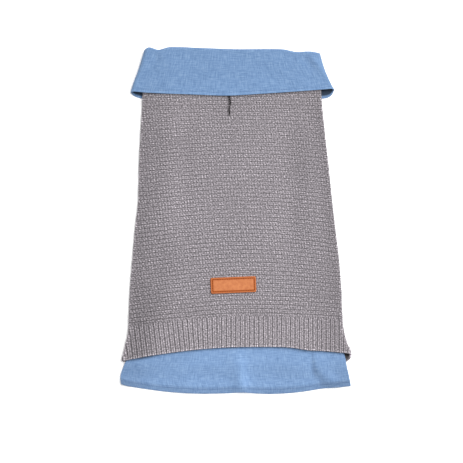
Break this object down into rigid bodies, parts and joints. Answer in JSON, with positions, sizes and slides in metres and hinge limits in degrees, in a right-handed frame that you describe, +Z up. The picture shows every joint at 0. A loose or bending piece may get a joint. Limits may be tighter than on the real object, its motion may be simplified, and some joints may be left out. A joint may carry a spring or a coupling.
{
  "type": "knitted dog jacket with a woven collar and shirttail, laid flat",
  "caption": "Small dog's knitted pull-on jacket laid flat, with a turned-down woven collar, leash slit, ribbed hem, woven shirttail and a bare leather patch.",
  "frame": {"origin": "on the surface it lies on, under the middle of the bounding box", "axes": "+Z up, +Y towards the collar (the dog's head), +X to the right as seen from above with the collar away from the viewer"},
  "size_m": [0.2496, 0.3742, 0.0103],
  "materials": {
    "grey_knit": "marled grey knit of light and dark yarn, matte",
    "blue_woven": "light blue plain weave with a white weft, matte",
    "tan_leather": "tan, smooth, satin"
  },
  "bodies": {
    "root": {"back_panel": "grey_knit", "belly_panel": "grey_knit", "hem_rib_back": "grey_knit", "hem_rib_belly": "grey_knit", "collar": "blue_woven", "shirttail": "blue_woven", "label_patch": "tan_leather"}
  },
  "joints": []
}
